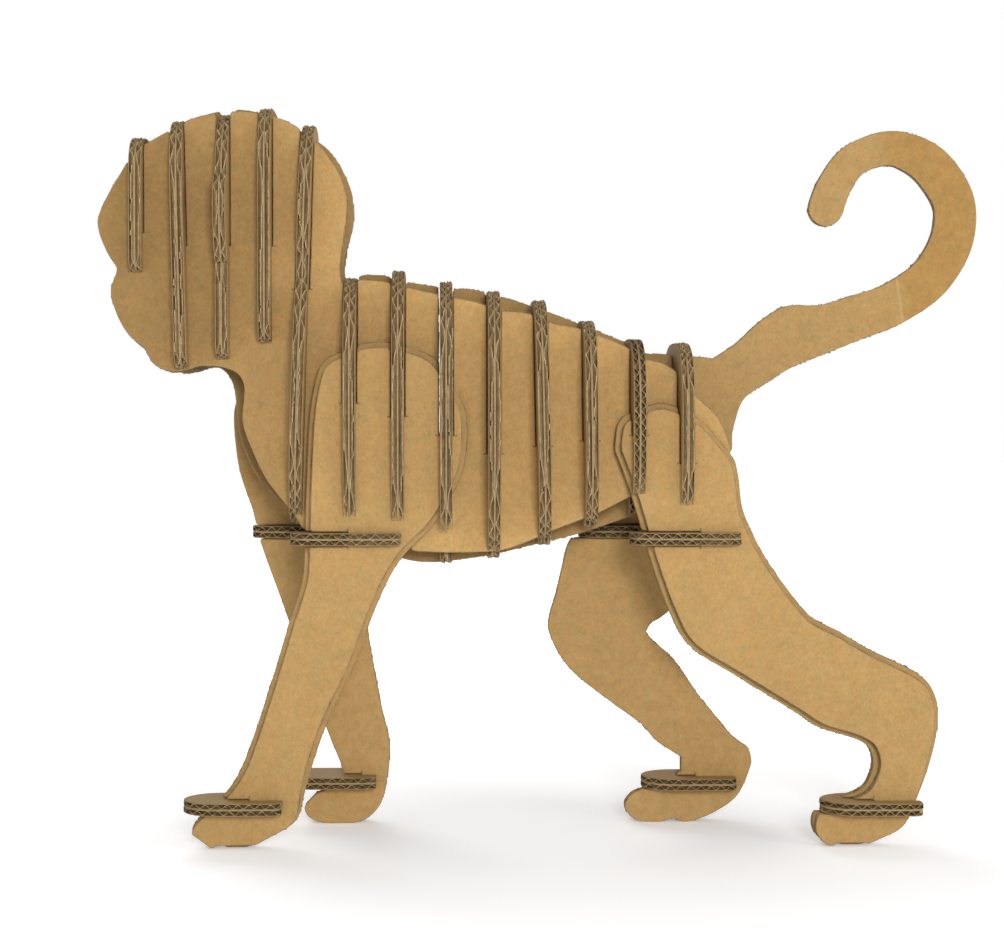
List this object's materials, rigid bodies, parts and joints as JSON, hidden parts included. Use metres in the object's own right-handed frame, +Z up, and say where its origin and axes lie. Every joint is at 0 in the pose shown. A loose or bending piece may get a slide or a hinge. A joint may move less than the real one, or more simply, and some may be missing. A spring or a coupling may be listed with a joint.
{
  "type": "slot-together cardboard monkey",
  "caption": "Walking monkey assembled from slotted double corrugated boards: lengthwise plates, crosswise ribs and small level plates on the limbs.",
  "frame": {"origin": "on the floor under the middle of the figure, centred in X and Y", "axes": "+Z up, the face looks along -X, +Y is the monkey's right side"},
  "size_m": [0.4805, 0.1172, 0.397],
  "materials": {
    "board_face": "matt kraft liner",
    "board_rib": "matt kraft board, mostly cut edge in view"
  },
  "bodies": {
    "boards": {"spine_plate": "board_face", "left_body_plate": "board_face", "right_body_plate": "board_face", "left_arm_inner": "board_face", "left_arm_outer": "board_face", "left_leg_inner": "board_face", "left_leg_outer": "board_face", "right_arm_inner": "board_face", "right_arm_outer": "board_face", "right_leg_inner": "board_face", "right_leg_outer": "board_face"},
    "brow_rib": {"brow_rib": "board_rib"},
    "face_rib": {"face_rib": "board_rib"},
    "ear_rib": {"ear_rib": "board_rib"},
    "crown_rib": {"crown_rib": "board_rib"},
    "neck_rib": {"neck_rib": "board_rib"},
    "body_rib_1": {"body_rib_1": "board_rib"},
    "body_rib_2": {"body_rib_2": "board_rib"},
    "body_rib_3": {"body_rib_3": "board_rib"},
    "body_rib_4": {"body_rib_4": "board_rib"},
    "body_rib_5": {"body_rib_5": "board_rib"},
    "body_rib_6": {"body_rib_6": "board_rib"},
    "body_rib_7": {"body_rib_7": "board_rib"},
    "body_rib_8": {"body_rib_8": "board_rib"},
    "left_arm_brace": {"left_arm_brace": "board_rib"},
    "right_arm_brace": {"right_arm_brace": "board_rib"},
    "left_thigh_brace": {"left_thigh_brace": "board_rib"},
    "right_thigh_brace": {"right_thigh_brace": "board_rib"},
    "left_wrist_plate": {"left_wrist_plate": "board_rib"},
    "right_wrist_plate": {"right_wrist_plate": "board_rib"},
    "left_ankle_plate": {"left_ankle_plate": "board_rib"},
    "right_ankle_plate": {"right_ankle_plate": "board_rib"}
  },
  "joints": [
    {"name": "brow_rib_lift", "type": "slide", "parent": "boards", "child": "brow_rib", "axis": [0, 0, 1], "range_m": [0, 0.073]},
    {"name": "face_rib_lift", "type": "slide", "parent": "boards", "child": "face_rib", "axis": [-0.0227, 0, 0.9997], "range_m": [0, 0.133]},
    {"name": "ear_rib_lift", "type": "slide", "parent": "boards", "child": "ear_rib", "axis": [0, 0, 1], "range_m": [0, 0.133]},
    {"name": "crown_rib_lift", "type": "slide", "parent": "boards", "child": "crown_rib", "axis": [0, 0, 1], "range_m": [0, 0.126]},
    {"name": "neck_rib_lift", "type": "slide", "parent": "boards", "child": "neck_rib", "axis": [0.0314, 0, 0.9995], "range_m": [0, 0.216]},
    {"name": "body_rib_1_lift", "type": "slide", "parent": "boards", "child": "body_rib_1", "axis": [0, 0, 1], "range_m": [0, 0.01]},
    {"name": "body_rib_2_lift", "type": "slide", "parent": "boards", "child": "body_rib_2", "axis": [0, 0, 1], "range_m": [0, 0.158]},
    {"name": "body_rib_3_lift", "type": "slide", "parent": "boards", "child": "body_rib_3", "axis": [0, 0, 1], "range_m": [0, 0.151]},
    {"name": "body_rib_4_lift", "type": "slide", "parent": "boards", "child": "body_rib_4", "axis": [0, 0, 1], "range_m": [0, 0.144]},
    {"name": "body_rib_5_lift", "type": "slide", "parent": "boards", "child": "body_rib_5", "axis": [-0.0209, 0, 0.9998], "range_m": [0, 0.133]},
    {"name": "body_rib_6_lift", "type": "slide", "parent": "boards", "child": "body_rib_6", "axis": [-0.0122, 0, 0.9999], "range_m": [0, 0.112]},
    {"name": "body_rib_7_lift", "type": "slide", "parent": "boards", "child": "body_rib_7", "axis": [0, 0, 1], "range_m": [0, 0.095]},
    {"name": "body_rib_8_lift", "type": "slide", "parent": "boards", "child": "body_rib_8", "axis": [0, 0, 1], "range_m": [0, 0.1]},
    {"name": "left_arm_brace_slide", "type": "slide", "parent": "boards", "child": "left_arm_brace", "axis": [-1, 0, 0], "range_m": [0, 0.053]},
    {"name": "right_arm_brace_slide", "type": "slide", "parent": "boards", "child": "right_arm_brace", "axis": [-1, 0, 0], "range_m": [0, 0.057]},
    {"name": "left_thigh_brace_slide", "type": "slide", "parent": "boards", "child": "left_thigh_brace", "axis": [-1, 0, 0], "range_m": [0, 0.035]},
    {"name": "right_thigh_brace_slide", "type": "slide", "parent": "boards", "child": "right_thigh_brace", "axis": [-1, 0, 0], "range_m": [0, 0.011]},
    {"name": "left_wrist_plate_slide", "type": "slide", "parent": "boards", "child": "left_wrist_plate", "axis": [-1, 0, 0], "range_m": [0, 0.038]},
    {"name": "right_wrist_plate_slide", "type": "slide", "parent": "boards", "child": "right_wrist_plate", "axis": [-1, 0, 0], "range_m": [0, 0.02]},
    {"name": "left_ankle_plate_slide", "type": "slide", "parent": "boards", "child": "left_ankle_plate", "axis": [-1, 0, 0], "range_m": [0, 0.044]},
    {"name": "right_ankle_plate_slide", "type": "slide", "parent": "boards", "child": "right_ankle_plate", "axis": [-1, 0, 0], "range_m": [0, 0.04]}
  ]
}
